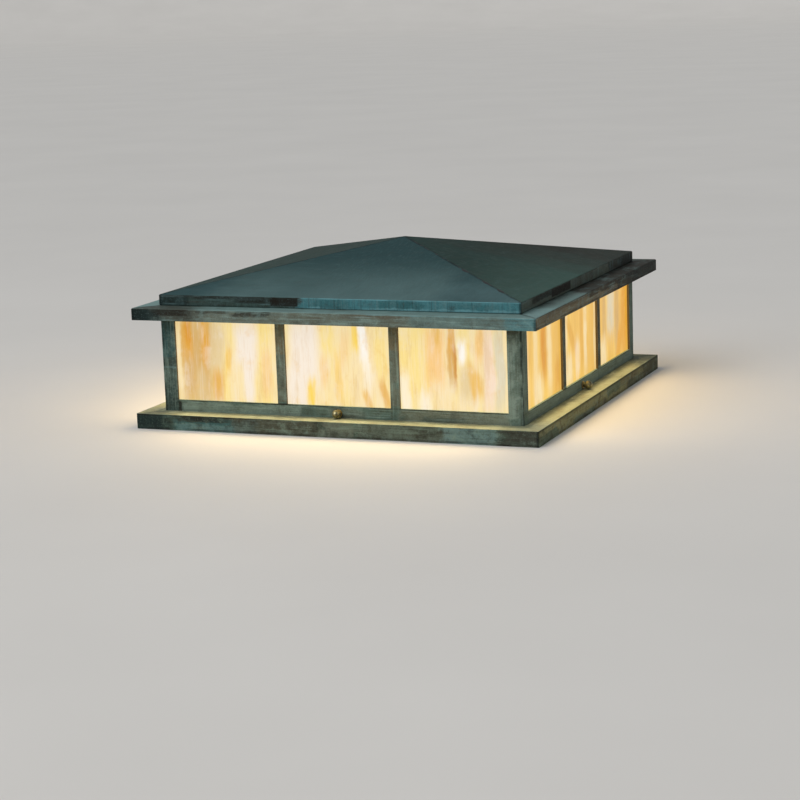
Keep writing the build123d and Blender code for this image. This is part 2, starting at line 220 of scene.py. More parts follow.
def studio_floor():
    """A round floor that turns up into a wall far away, so that no horizon shows."""
    flat = 24.0
    flat_steps = 8
    turn_up = 7.0
    turn_steps = 12
    wall = 8.0
    segments = 96
    profile = [(flat * step / flat_steps, 0.0) for step in range(1, flat_steps + 1)]
    for step in range(1, turn_steps + 1):
        angle = math.pi / 2 * step / turn_steps
        profile.append((flat + turn_up * math.sin(angle), turn_up * (1 - math.cos(angle))))
    profile.append((flat + turn_up, wall))
    form = bmesh.new()
    rings = []
    for radius, height in profile:
        rings.append([
            form.verts.new((radius * math.cos(angle), radius * math.sin(angle), height))
            for angle in [math.tau * index / segments for index in range(segments)]])
    form.faces.new(rings[0])
    bridge(form, rings)
    return finished_piece(form, "floor", floor_finish())


# Materials


def rgb(red, green, blue):
    """A colour given as 0 to 255 on screen, as the linear value that a shader takes."""
    def linear(level):
        share = level / 255.0
        return share / 12.92 if share <= 0.04045 else ((share + 0.055) / 1.055) ** 2.4
    return (linear(red), linear(green), linear(blue), 1.0)


class Surface:
    """A material built round one Principled shader, with short calls for its nodes and a colour that is
    laid on in coats."""

    def __init__(self, name):
        self.material = bpy.data.materials.new(name)
        self.material.use_nodes = True
        self.tree = self.material.node_tree
        self.shader = next(n for n in self.tree.nodes if n.type == "BSDF_PRINCIPLED")
        self.position = self.node("TexCoord").outputs["Object"]
        self.colour = None

    def feed(self, socket, value):
        if isinstance(value, bpy.types.NodeSocket):
            self.tree.links.new(value, socket)
        else:
            socket.default_value = value

    def node(self, kind, inputs=None, **settings):
        made = self.tree.nodes.new("ShaderNode" + kind)
        for name, value in settings.items():
            setattr(made, name, value)
        for name, value in (inputs or {}).items():
            self.feed(made.inputs[name], value)
        return made

    def calc(self, operation, *values):
        made = self.node("Math", operation=operation)
        for socket, value in zip(made.inputs, values):
            self.feed(socket, value)
        return made.outputs[0]

    def times(self, first, *others):
        for other in others:
            first = self.calc("MULTIPLY", first, other)
        return first

    def ease(self, value, low, high):
        """0 at low, 1 at high, with a smooth step between."""
        made = self.node("MapRange", {"Value": value, "From Min": low, "From Max": high},
                         interpolation_type="SMOOTHSTEP")
        return made.outputs[0]

    def window(self, value, low, high, soft):
        """1 between low and high, fading to 0 within soft on each side of these."""
        away = self.calc("ABSOLUTE", self.calc("SUBTRACT", value, (low + high) / 2))
        half = (high - low) / 2
        return self.ease(away, half + soft, max(half - soft, 0.0))

    def blend(self, factor, first, second):
        """A mix of two colours, whose sockets go by number because their names repeat."""
        made = self.node("Mix", data_type="RGBA")
        for index, value in ((0, factor), (6, first), (7, second)):
            self.feed(made.inputs[index], value)
        return made.outputs[2]

    def coat(self, tint, *masks):
        """Lays a tint over the colour so far, by the product of its masks."""
        self.colour = self.blend(self.times(*masks), self.colour, tint)

    def vector(self, x, y, z):
        return self.node("CombineXYZ", {"X": x, "Y": y, "Z": z}).outputs[0]

    def noise(self, vector, scale, detail=4.0, roughness=0.55, distortion=0.0):
        made = self.node("TexNoise", {"Scale": scale, "Detail": detail, "Roughness": roughness,
                                      "Distortion": distortion, "Vector": vector})
        return made.outputs["Fac"]

    def stretched(self, along, outward, height, detail=4.0, roughness=0.58, shift=0.0):
        """Noise with its own density, in features per metre, along the side, outward and in height."""
        vector = self.vector(self.calc("MULTIPLY_ADD", self.along, along, shift),
                             self.calc("MULTIPLY", self.outward, outward),
                             self.calc("MULTIPLY", self.height, height))
        return self.noise(vector, 1.0, detail, roughness)

    def survey(self):
        """Finds where a point of the resting light is: how far out from the middle, where along its side,
        how high, on which side, how near to a corner, and how its face is turned. The front counts the back
        in, and the right the left, but the back and the left stand for themselves."""
        x, y, self.height = self.node("SeparateXYZ", {"Vector": self.position}).outputs
        reach_x = self.calc("ABSOLUTE", x)
        reach_y = self.calc("ABSOLUTE", y)
        self.outward = self.calc("MAXIMUM", reach_x, reach_y)
        self.flank = self.calc("GREATER_THAN", reach_x, reach_y)
        self.along = self.calc("MULTIPLY_ADD", self.flank, self.calc("SUBTRACT", y, x), x)
        self.corner = self.calc("ABSOLUTE", self.calc("SUBTRACT", reach_x, reach_y))
        self.on_side = {
            "front": self.calc("SUBTRACT", 1.0, self.flank),
            "right": self.flank,
            "left": self.times(self.flank, self.calc("LESS_THAN", x, 0.0)),
            "back": self.times(self.calc("SUBTRACT", 1.0, self.flank), self.calc("GREATER_THAN", y, 0.0)),
        }
        normal = self.node("SeparateXYZ", {"Vector": self.node("NewGeometry").outputs["Normal"]}).outputs
        turned_x, turned_y = (self.calc("ABSOLUTE", normal[axis]) for axis in (0, 1))
        turned_more = self.calc("SUBTRACT", turned_y, turned_x)
        self.sideways = self.calc("MULTIPLY_ADD", self.flank, turned_more, turned_x)
        self.upright = self.ease(self.calc("ABSOLUTE", normal[2]), 0.7, 0.4)

    def bump(self, height, distance):
        made = self.node("Bump", {"Height": height, "Distance": distance})
        self.feed(self.shader.inputs["Normal"], made.outputs[0])

    def set(self, **values):
        """Sets the shader's sockets: an underscore in a name stands for a space."""
        for name, value in values.items():
            self.feed(self.shader.inputs[name.replace("_", " ")], value)


def floor_finish():
    surface = Surface("pale_floor")
    grain = surface.noise(surface.position, 2.0, detail=3.0)
    surface.set(Base_Color=surface.blend(grain, rgb(206, 203, 199), rgb(216, 213, 209)), Roughness=0.8)
    return surface.material


# Tints of the patina, some of which also paint light and shade
# Soot-dark tint: dark patina in some marks, painted shade in others, such as the shadow lines under the
# glass
SOOT_AND_SHADE = rgb(30, 25, 20)
PITCH = rgb(18, 25, 25)
UMBER = rgb(78, 66, 52)
BARK = rgb(60, 60, 52)
LOAM = rgb(40, 39, 33)
INK = rgb(26, 38, 38)
SLATE = rgb(42, 55, 53)
DUSK = rgb(34, 60, 62)
MOSS = rgb(27, 51, 46)
FERN = rgb(50, 64, 59)
LICHEN = rgb(54, 80, 71)
TEAL = rgb(50, 94, 98)
SEA = rgb(68, 122, 130)
SKY = rgb(104, 152, 160)
SPRAY = rgb(106, 131, 128)
FOAM = rgb(118, 146, 144)
MIST = rgb(128, 142, 130)
STONE = rgb(86, 92, 80)
TAUPE = rgb(98, 100, 87)
CLAY = rgb(112, 101, 77)
SAND = rgb(138, 136, 94)
DULL_BRASS = rgb(62, 50, 30)

# Marks on the patina, in millimetres. Stains and patches lie on upright faces: side, start and end along
# it, low and high edge, tint and share. A patch covers the brush marks too, and ends with its softness.
# Washes lie on sloping and level faces and have an inner and an outer edge instead, from the middle of the
# light. Edges are thin lines just below a height, which is in metres, and the seam is the share of a dark
# line along the corners. Some marks are painted light and shade rather than patina: the pale lines at the
# top bends are painted highlights, and the dark lines are partly painted shade. The back takes the front's
# marks, and the left side the right's, before their own.
ROOF_MARKS = {
    "stains": [
        ("front", -310, -50, 160, 198, FERN, 0.95),
        ("front", -310, -225, 160, 198, INK, 0.85),
        ("front", -50, 310, 160, 198, SEA, 0.9),
        ("front", -34, 26, 176, 189, TEAL, 0.6),
        ("front", 60, 130, 176, 189, TEAL, 0.75),
        ("front", 180, 240, 176, 188, TEAL, 0.5),
        ("front", -46, 300, 172, 179, SKY, 0.8),
        ("front", -290, -150, 188, 194, SOOT_AND_SHADE, 0.7),
        ("front", -150, -96, 182, 194, SOOT_AND_SHADE, 0.5),
        ("right", -310, 310, 160, 198, STONE, 0.95),
        ("right", -230, -130, 183, 196, SOOT_AND_SHADE, 0.6),
        ("right", -40, 60, 178, 192, BARK, 0.3),
        ("right", 140, 310, 160, 198, LOAM, 0.9),
        ("right", 200, 310, 160, 198, PITCH, 0.6),
    ],
    "patches": [
        ("front", -98, -56, 179, 190.5, SOOT_AND_SHADE, 0.85, 1.5),
        ("front", -155, -92, 182, 190.5, SOOT_AND_SHADE, 0.5, 14),
        ("right", -140, -52, 179, 190.5, SOOT_AND_SHADE, 0.95, 1.5),
        ("right", -225, -132, 183, 190.5, SOOT_AND_SHADE, 0.6, 14),
    ],
    "washes": [
        ("front", -330, 330, -200, 200, DUSK, 0.85),
        ("front", -330, -55, 40, 240, DUSK, 0.4),
        ("front", -330, -150, 100, 400, DUSK, 0.5),
        ("front", -330, -215, 100, 400, DUSK, 0.5),
        ("front", -190, 150, 150, 450, SPRAY, 0.2),
        ("right", -330, 330, -60, 400, LICHEN, 0.9),
        ("right", -330, 330, -200, 200, MOSS, 0.95),
        ("right", 0, 330, 40, 360, LOAM, 0.35),
        ("right", 70, 330, 40, 360, LOAM, 0.45),
        ("right", 140, 330, 40, 360, LOAM, 0.6),
        ("right", 150, 210, 170, 215, SOOT_AND_SHADE, 0.4),
        ("left", -330, 330, -60, 400, MOSS, 0.85),
    ],
    "edges": [
        # The pale line is a painted highlight on the eave's top bend; the dark lines are partly dark patina
        # and partly painted shade
        ("front", -300, -54, EAVE_TOP, SOOT_AND_SHADE, 0.8),
        ("front", -50, 300, EAVE_TOP, SKY, 0.8),
        ("right", -300, 300, EAVE_TOP, SOOT_AND_SHADE, 0.7),
    ],
}
CORNICE_MARKS = {
    "stains": [
        ("front", -212, 130, 150, 184, TAUPE, 0.75),
        ("front", 120, 265, 150, 184, TAUPE, 0.3),
        ("front", 265, 360, 150, 184, SEA, 0.5),
        ("front", -275, -205, 150, 184, BARK, 0.8),
        ("front", -245, -185, 150, 184, BARK, 0.6),
        ("front", -205, -150, 170, 178, SOOT_AND_SHADE, 0.6),
        ("front", -140, -84, 168, 178, SOOT_AND_SHADE, 0.8),
        ("front", 20, 130, 169, 178, UMBER, 0.5),
        ("right", -360, 360, 150, 184, CLAY, 0.95),
        ("right", -260, -60, 170, 180, UMBER, 0.6),
        ("right", 20, 120, 150, 184, UMBER, 0.75),
        ("right", 90, 360, 150, 184, LOAM, 0.95),
        # Painted shade along the upper part of the right fascia, under the eave
        ("right", -60, 345, 168, 184, SOOT_AND_SHADE, 0.8),
    ],
    "patches": [
        ("front", -345, -262, 150, 184, INK, 0.97, 18),
        ("front", -345, -285, 150, 184, PITCH, 0.6, 14),
        ("front", -270, -215, 166, 175, SOOT_AND_SHADE, 0.8, 12),
        ("right", 150, 345, 150, 184, PITCH, 0.75, 40),
    ],
    "washes": [
        # The pale washes over the cornice top are painted light where the eave shades it; the soot-dark
        # wash on the right is painted shade under the eave
        ("front", -360, 360, 240, 380, SPRAY, 0.95),
        ("front", -360, -200, 240, 380, BARK, 0.85),
        ("right", -360, 360, 240, 380, BARK, 0.95),
        ("right", -250, 110, 240, 290, LOAM, 0.6),
        ("right", -360, -60, 286, 380, SPRAY, 0.9),
        ("right", -360, -210, 240, 380, FOAM, 0.85),
        ("right", 120, 360, 240, 380, LOAM, 0.8),
        ("right", -60, 360, 240, 380, SOOT_AND_SHADE, 0.6),
        ("back", -360, 360, 240, 380, BARK, 0.85),
    ],
    "edges": [
        # The pale line is a painted highlight on the cornice's top bend; the dark lines are partly dark
        # patina and partly painted shade
        ("front", -345, -215, CORNICE_TOP, SOOT_AND_SHADE, 0.8),
        ("front", 60, 345, CORNICE_TOP, SKY, 0.6),
        ("right", -345, 345, CORNICE_TOP, SOOT_AND_SHADE, 0.6),
        ("right", -345, 345, CORNICE_LOW + 2.5 * MM, SOOT_AND_SHADE, 0.6),
    ],
}
FRAME_MARKS = {
    "stains": [
        ("front", -290, -251, 10, 190, SLATE, 0.9),
        ("front", -280, -251, 100, 150, TEAL, 0.4),
        ("front", 240, 264, 30, 150, MIST, 0.8),
        ("front", -100, -72, 40, 190, TAUPE, 0.85),
        ("front", -100, -72, 110, 190, CLAY, 0.8),
        ("front", 72, 100, 40, 190, TAUPE, 0.85),
        ("front", 72, 100, 120, 190, CLAY, 0.8),
        ("front", 264, 290, 10, 190, STONE, 0.45),
        ("front", 245, 290, 146, 190, UMBER, 0.5),
        ("front", -250, -60, 15, 36, MIST, 0.45),
        ("front", 100, 250, 15, 42, MIST, 0.4),
        ("front", 90, 250, 15, 42, CLAY, 0.4),
        ("front", -14, 40, 15, 36, UMBER, 0.4),
        ("front", 120, 180, 15, 28, SLATE, 0.6),
        ("right", -260, 260, 10, 42, MIST, 0.65),
        ("right", -100, 100, 42, 190, UMBER, 0.8),
    ],
    "patches": [
        # Painted shadow where the sill meets the left post
        ("front", -252, -247, 20, 36, SOOT_AND_SHADE, 0.8, 1.0),
    ],
    "edges": [
        # Painted shadow along the top of the sill, under the glass
        ("front", -252, 252, SILL_TOP, SOOT_AND_SHADE, 0.85),
        ("right", -252, 252, SILL_TOP, SOOT_AND_SHADE, 0.7),
        ("front", -276, -252, 86 * MM, SPRAY, 0.6),
    ],
}
SKIRT_MARKS = {
    "stains": [
        ("front", -245, -110, -10, 20, TEAL, 0.6),
        ("front", -240, -130, -10, 12, SPRAY, 0.4),
        ("front", -232, -150, 14, 26, SOOT_AND_SHADE, 0.6),
        ("front", -150, -20, -10, 28, UMBER, 0.55),
        ("front", -20, 40, -10, 28, TAUPE, 0.7),
        ("front", 40, 180, -10, 28, STONE, 0.8),
        ("front", 120, 200, 11, 26, SOOT_AND_SHADE, 0.4),
        ("front", 170, 245, -10, 28, SPRAY, 0.7),
        ("front", 250, 330, -10, 28, BARK, 0.9),
        ("right", -330, 330, -10, 28, SAND, 0.9),
        ("right", -120, 10, -10, 10, UMBER, 0.4),
        ("right", 90, 200, 10, 26, UMBER, 0.5),
        ("right", -310, -215, -10, 14, LICHEN, 0.75),
        ("right", -150, -40, -10, 9, LICHEN, 0.7),
        ("right", 20, 90, 8, 26, LICHEN, 0.7),
        ("right", 120, 220, -10, 12, FERN, 0.7),
        ("right", 215, 330, -10, 28, LOAM, 0.8),
    ],
    "patches": [
        ("front", -330, -250, -10, 30, INK, 0.85, 18),
        ("front", -240, -170, 13, 30, SOOT_AND_SHADE, 0.6, 18),
        ("right", -330, 330, 19, 24, SOOT_AND_SHADE, 0.4, 10),
    ],
    "edges": [
        ("front", -330, -90, BASE_TOP, SOOT_AND_SHADE, 0.85),
        ("right", -330, 330, BASE_TOP, SOOT_AND_SHADE, 0.75),
        ("front", -330, 330, 2.5 * MM, SOOT_AND_SHADE, 0.6),
        ("right", -330, 330, 2.5 * MM, SOOT_AND_SHADE, 0.6),
    ],
}
LEDGE_MARKS = {
    "washes": [
        # The first two washes are painted shade along the foot of the body; the others darken the ledge
        # towards its ends
        ("front", -340, 340, 262, 287, FERN, 0.55),
        ("right", -340, 340, 262, 287, FERN, 0.6),
        ("front", -340, -250, 265, 350, FERN, 0.6),
        ("right", 215, 340, 265, 350, FERN, 0.8),
        ("back", 215, 340, 262, 350, FERN, 0.9),
    ],
    "seam": 0.0,
}

# Share of the seam where the marks give none
SEAM_SHARE = 0.7

# Spans along a side, in millimetres, in which the brush ran upward
FRAME_BARS = [(-290, -252), (-94, -79), (79, 94), (252, 290)]
ROOF_BARS = [(-50, 300)]


class Patina(Surface):
    """Brass under brushed-on verdigris. Its tones are deep, mid, pale and brown, and still is the share of
    the grain that shows on sloping and level faces."""

    def __init__(self, name, tones, still):
        super().__init__(name)
        self.survey()
        self.deep, self.mid, self.pale, self.brown = tones
        self.calm = self.calc("MULTIPLY_ADD", self.upright, 1.0 - still, still)
        self.mottle = self.noise(self.position, 75.0, detail=6.0, roughness=0.66)
        self.speck = self.noise(self.position, 520.0, detail=3.0, roughness=0.6)
        self.brush = self.stretched(15.0, 40.0, 150.0, detail=6.0, roughness=0.62)
        self.tarnish = self.stretched(24.0, 34.0, 80.0, detail=6.0, roughness=0.66, shift=7.7)
        self.ragged = self.calc("SUBTRACT", self.mottle, 0.5)
        self.drift = self.calc("SUBTRACT", self.stretched(22.0, 20.0, 40.0, detail=5.0, shift=1.7), 0.5)
        self.drifted = self.calc("MULTIPLY_ADD", self.drift, 60 * MM, self.along)

    def ground(self, tarnish_share):
        """Clouds, broad brush marks, pale runs and brown tarnish."""
        cloud = self.noise(self.position, 6.0, detail=3.0, distortion=0.4)
        runs = self.stretched(70.0, 20.0, 7.0, detail=6.0, roughness=0.66, shift=3.1)
        self.colour = self.deep
        self.coat(self.mid, self.ease(cloud, 0.32, 0.68))
        self.coat(self.pale, self.ease(self.brush, 0.5, 0.78), self.upright, 0.4)
        self.coat(self.pale, self.ease(runs, 0.52, 0.8), self.upright, 0.3)
        self.brown_mask = self.times(self.ease(self.tarnish, 0.5, 0.7), self.calm, tarnish_share)
        self.coat(self.brown, self.brown_mask)

    def stains(self, marks):
        """Ragged stains on upright faces, under the fine brush strokes; a few of them are painted shade."""
        height = self.calc("MULTIPLY_ADD", self.drift, 14 * MM, self.height)
        uneven = self.calc("MULTIPLY_ADD", self.ease(self.brush, 0.3, 0.65), 0.2, 0.8)
        for side, start, end, low, high, tint, share in marks:
            inside = self.times(
                self.window(self.drifted, start * MM, end * MM, 14 * MM),
                self.window(height, low * MM, high * MM, 3.5 * MM))
            cover = self.ease(self.calc("MULTIPLY_ADD", self.ragged, 1.8, inside), 0.25, 0.85)
            self.coat(tint, cover, self.on_side[side], self.upright, uneven, share)

    def washes(self, marks):
        """Soft washes on sloping and level faces."""
        lying = self.calc("SUBTRACT", 1.0, self.upright)
        for side, start, end, inner, outer, tint, share in marks:
            width = (outer - inner) * MM
            outward = self.calc("MULTIPLY_ADD", self.drift, width * 0.12, self.outward)
            self.coat(
                tint,
                self.window(self.drifted, start * MM, end * MM, 20 * MM),
                self.window(outward, inner * MM, outer * MM, width / 4),
                self.on_side[side], lying, share)

    def strokes(self, bars):
        """Fine brush strokes, pale and brown, along each side but upward in the bars."""
        brushed = self.stretched(18.0, 60.0, 360.0, detail=5.0, roughness=0.62, shift=9.2)
        if bars:
            upward = self.stretched(360.0, 60.0, 18.0, detail=5.0, roughness=0.62, shift=2.9)
            for start, end in bars:
                in_bar = self.window(self.along, start * MM, end * MM, 0.5 * MM)
                mix = self.node("Mix", {"Factor": in_bar, "A": brushed, "B": upward})
                brushed = mix.outputs[0]
        stroke = self.times(self.calm, 0.5)
        self.coat(self.pale, self.ease(brushed, 0.5, 0.72), stroke)
        self.coat(self.brown, self.ease(brushed, 0.48, 0.28), stroke)

    def grain(self, mottle_share, blotch_share):
        """Fine mottle, and larger blotches of soot and pale patina."""
        mottled = self.times(self.calm, mottle_share)
        self.coat(self.pale, self.ease(self.mottle, 0.5, 0.72), mottled)
        self.coat(self.brown, self.ease(self.mottle, 0.5, 0.3), mottled)
        blotch = self.stretched(34.0, 34.0, 64.0, detail=6.0, roughness=0.7, shift=11.3)
        blotched = self.times(self.calm, blotch_share)
        self.coat(SOOT_AND_SHADE, self.ease(blotch, 0.54, 0.66), blotched)
        self.coat(self.pale, self.ease(blotch, 0.45, 0.33), blotched, 0.7)

    def patches(self, marks):
        """Patches on upright faces, over the brush strokes."""
        height = self.calc("MULTIPLY_ADD", self.ragged, 4 * MM, self.height)
        for side, start, end, low, high, tint, share, soft in marks:
            along = self.calc("MULTIPLY_ADD", self.ragged, 3 * soft * MM, self.along)
            self.coat(
                tint,
                self.window(along, start * MM, end * MM, soft * MM),
                self.window(height, low * MM, high * MM, 1.0 * MM),
                self.on_side[side], self.upright, share)

    def specks(self):
        self.coat(self.pale, self.ease(self.speck, 0.52, 0.75), self.calm, 0.22)
        self.coat(SOOT_AND_SHADE, self.ease(self.speck, 0.48, 0.25), self.calm, 0.3)

    def edges(self, marks, seam_share):
        """Lines just below a height, and a dark seam down the corners. The pale lines at the top bends are
        painted highlights; the dark lines are partly dark patina and partly painted shade.
        """
        line_breakup = self.ease(self.stretched(30.0, 30.0, 60.0, shift=5.3), 0.3, 0.62)
        for side, start, end, height, tint, share in marks:
            self.coat(
                tint,
                self.window(self.along, start * MM, end * MM, 4 * MM),
                self.window(self.height, height - 1.6 * MM, height + 1.0 * MM, 0.5 * MM),
                self.on_side[side], self.upright, line_breakup, share)
        self.coat(PITCH, self.ease(self.corner, 5.0 * MM, 1.5 * MM), line_breakup, seam_share)

    def reveal(self, inner, outer):
        """Dull brass on the faces that look sideways, between two distances from the middle."""
        depth = self.window(self.outward, inner, outer, 0.4 * MM)
        self.coat(DULL_BRASS, self.ease(self.sideways, 0.8, 0.95), depth)

    def shade(self):
        """Gives the shader its colour, gloss and grain, and returns the material."""
        self.set(Base_Color=self.colour, Metallic=self.times(self.brown_mask, 0.25),
                 Specular_IOR_Level=0.05, Roughness=self.calc("MULTIPLY_ADD", self.mottle, 0.3, 0.42))
        rough = self.calc("MULTIPLY_ADD", self.tarnish, 0.5, self.mottle)
        self.bump(self.calc("MULTIPLY_ADD", self.speck, 0.35, rough), 0.3 * MM)
        return self.material


def verdigris(name, tones, marks, tarnish, mottle, blotch, still, bars=(), reveal=None):
    """A patina with its marks. Tarnish, mottle and blotch are the shares of these. The bars are spans along
    a side in which the brush ran upward, and the reveal is the span of distance from the middle in which
    the sides of bars and posts are dull brass."""
    patina = Patina(name, tones, still)
    patina.ground(tarnish)
    patina.stains(marks.get("stains", ()))
    patina.washes(marks.get("washes", ()))
    patina.strokes(bars)
    patina.grain(mottle, blotch)
    patina.patches(marks.get("patches", ()))
    patina.specks()
    patina.edges(marks.get("edges", ()), marks.get("seam", SEAM_SHARE))
    if reveal:
        patina.reveal(*reveal)
    return patina.shade()


def metal(name, colour, dull, roughness):
    """Plain metal with a cloudy tarnish."""
    surface = Surface(name)
    tarnish = surface.noise(surface.position, 180.0, detail=5.0)
    surface.set(Base_Color=surface.blend(surface.ease(tarnish, 0.4, 0.7), colour, dull), Metallic=0.9,
                Roughness=surface.calc("MULTIPLY_ADD", tarnish, 0.25, roughness - 0.1))
    surface.bump(tarnish, 0.05 * MM)
    return surface.material


def coating(name, colour, shade, roughness, grain):
    """Enamel, glaze, rubber or plastic with a faint mottle."""
    surface = Surface(name)
    mottle = surface.noise(surface.position, grain, detail=4.0)
    surface.set(Base_Color=surface.blend(surface.ease(mottle, 0.35, 0.7), colour, shade),
                Roughness=surface.calc("MULTIPLY_ADD", mottle, 0.15, roughness - 0.07))
    surface.bump(mottle, 0.04 * MM)
    return surface.material


# Tints of the lamps
OPAL = rgb(214, 204, 184)
NECK_GLOW = rgb(236, 158, 66)
CROWN_GLOW = rgb(255, 226, 164)


def lamp_glass(name):
    """Opal lamp globe, lit: its glow is deeper towards the neck."""
    surface = Surface(name)
    surface.survey()
    low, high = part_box("lamp_globe_1")
    haze = surface.calc("SUBTRACT", surface.noise(surface.position, 30.0, detail=2.0), 0.5)
    crown = surface.ease(surface.height, low[2], (low[2] + high[2]) / 2)
    glow = surface.blend(surface.calc("MULTIPLY_ADD", haze, 0.4, crown), NECK_GLOW, CROWN_GLOW)
    surface.set(Base_Color=OPAL, Roughness=0.3, Emission_Color=glow, Emission_Strength=0.6)
    return surface.material


# Tints of the panes, and of the glass when it is unlit
UNLIT = rgb(40, 34, 26)
CREAM = rgb(250, 228, 178)
STRAW = rgb(252, 226, 146)
GOLD = rgb(250, 206, 106)
MILK = rgb(248, 236, 222)
SNOW = rgb(255, 250, 240)
HONEY = rgb(238, 188, 92)
TAN = rgb(214, 172, 104)
YELLOW = rgb(252, 214, 84)
AMBER = rgb(228, 168, 66)
ORANGE = rgb(224, 150, 36)
PEACH = rgb(248, 210, 148)
ASH = rgb(222, 214, 188)
OAT = rgb(228, 204, 156)
BRONZE = rgb(200, 130, 44)
MARIGOLD = rgb(232, 164, 44)
APRICOT = rgb(250, 202, 132)
BLUSH = rgb(248, 222, 200)

# Streaks seen in the glass, in millimetres: place along the side, height of the middle, half width, half
# length, lean, tint and share
STREAKS = {
    ("front", "left"): [
        (-220, 98, 38, 88, 0.0, TAN, 0.95), (-249, 95, 6, 72, 0.0, CREAM, 0.9),
        (-235, 126, 9, 36, 0.0, AMBER, 0.9), (-234, 134, 5, 22, 0.0, ORANGE, 0.7),
        (-207, 128, 9, 46, 0.0, AMBER, 0.95), (-188, 116, 15, 42, 0.0, OAT, 0.85),
        (-185, 60, 10, 30, 0.0, AMBER, 0.8), (-214, 62, 12, 30, 0.0, OAT, 0.6),
        (-169, 98, 6, 22, 0.0, GOLD, 0.85), (-164, 140, 8, 20, 0.0, STRAW, 0.85),
        (-143, 118, 22, 44, 0.0, MILK, 0.95), (-138, 68, 12, 38, 0.0, MILK, 0.85),
        (-156, 68, 12, 36, 0.0, CREAM, 0.85), (-110, 84, 10, 44, 0.0, PEACH, 0.9),
        (-110, 138, 10, 26, 0.0, STRAW, 0.75), (-97, 98, 5, 80, 0.0, CREAM, 0.8),
    ],
    ("front", "centre"): [
        (-52, 116, 30, 64, 0.0, MILK, 0.95), (-62, 58, 20, 36, 0.0, MILK, 0.8),
        (-41, 54, 7, 26, 0.0, YELLOW, 0.9), (-14, 134, 11, 32, 0.0, STRAW, 0.9),
        (-20, 86, 8, 24, 0.0, PEACH, 0.8), (2, 80, 7, 42, 0.0, GOLD, 0.6),
        (12, 120, 8, 30, 0.0, PEACH, 0.6), (28, 140, 7, 22, 0.0, YELLOW, 0.9),
        (41, 132, 9, 32, -0.1, SNOW, 1.0), (45, 98, 8, 36, -0.1, SNOW, 0.5),
        (68, 114, 13, 52, -0.05, STRAW, 0.85), (26, 70, 14, 40, -0.15, CREAM, 0.7),
        (44, 48, 7, 16, -0.25, HONEY, 0.85), (70, 56, 7, 26, -0.2, AMBER, 0.75),
    ],
    ("front", "right"): [
        (114, 114, 18, 60, 0.0, STRAW, 0.7), (101, 60, 9, 38, -0.1, SNOW, 0.55),
        (130, 44, 13, 20, 0.0, SNOW, 0.5), (146, 112, 18, 54, 0.0, APRICOT, 0.9),
        (148, 146, 6, 18, 0.0, HONEY, 0.8), (156, 56, 15, 26, 0.0, CREAM, 0.7),
        (171, 128, 7, 44, 0.0, AMBER, 0.9), (170, 98, 6, 30, 0.0, TAN, 0.7),
        (176, 102, 3.5, 34, 0.0, BRONZE, 0.8), (187, 122, 7, 20, 0.0, SNOW, 1.0),
        (194, 78, 14, 28, 0.0, OAT, 0.85), (206, 78, 10, 28, -0.15, HONEY, 0.85),
        (212, 132, 7, 28, 0.0, APRICOT, 0.8), (225, 100, 10, 72, 0.0, BLUSH, 0.9),
        (240, 100, 9, 72, 0.0, ASH, 0.9), (250, 98, 4, 80, 0.0, CREAM, 0.9),
    ],
    ("right", "left"): [
        (-244, 100, 13, 80, 0.0, PEACH, 0.85), (-230, 128, 10, 44, 0.0, HONEY, 0.8),
        (-206, 116, 12, 54, 0.0, CREAM, 0.65), (-198, 54, 24, 32, 0.0, CREAM, 0.95),
        (-170, 122, 20, 56, 0.0, AMBER, 1.0), (-172, 116, 11, 52, 0.0, ORANGE, 0.95),
        (-143, 108, 16, 72, 0.0, CREAM, 0.85), (-115, 100, 22, 80, 0.0, HONEY, 0.8),
        (-106, 64, 15, 28, 0.0, AMBER, 0.85),
    ],
    ("right", "centre"): [
        (-70, 120, 13, 52, 0.0, CREAM, 0.85), (-42, 110, 15, 34, -0.7, AMBER, 0.75),
        (-14, 128, 15, 36, 0.0, HONEY, 0.8), (-58, 58, 24, 28, 0.0, CREAM, 0.95),
        (-14, 70, 14, 32, 0.0, SNOW, 0.4), (8, 100, 10, 66, 0.0, AMBER, 0.65),
        (27, 100, 10, 66, 0.0, CREAM, 0.85), (56, 100, 17, 72, 0.0, HONEY, 0.75),
        (75, 98, 6, 72, 0.0, CREAM, 0.7),
    ],
    ("right", "right"): [
        (102, 100, 10, 72, 0.0, HONEY, 0.8), (126, 112, 10, 58, 0.0, TAN, 0.8),
        (160, 116, 24, 48, 0.0, ASH, 0.85), (120, 56, 19, 28, 0.0, CREAM, 0.85),
        (194, 104, 16, 66, 0.0, TAN, 0.95), (160, 58, 16, 26, 0.0, HONEY, 0.6),
        (236, 105, 24, 84, 0.0, MARIGOLD, 1.0), (208, 62, 16, 32, 0.35, MARIGOLD, 0.9),
    ],
}

# Distance between the middles of two panes, and height of their middles, in millimetres
PANE_PITCH = 172.7
PANE_MIDDLE = 97.5


def chance_streaks(side, pane):
    """Streaks of the same kinds for a pane of the back or left, whose panes run the other way along it."""
    draw = random.Random(f"{side}_{pane}")
    tints = [AMBER, ORANGE, MILK, HONEY, STRAW, PEACH, YELLOW, CREAM, TAN, SNOW]
    count = 11
    step = 15.6
    first = (1 - PANES.index(pane)) * PANE_PITCH - (count - 1) / 2 * step
    made = []
    for index in range(count):
        along = first + step * index + draw.uniform(-5, 5)
        height = PANE_MIDDLE + draw.uniform(-38, 38)
        half_width = draw.uniform(7, 20)
        half_length = draw.uniform(30, 85)
        lean = draw.uniform(-0.12, 0.08)
        tint = draw.choice(tints)
        share = draw.uniform(0.55, 0.9)
        made.append((along, height, half_width, half_length, lean, tint, share))
    return made


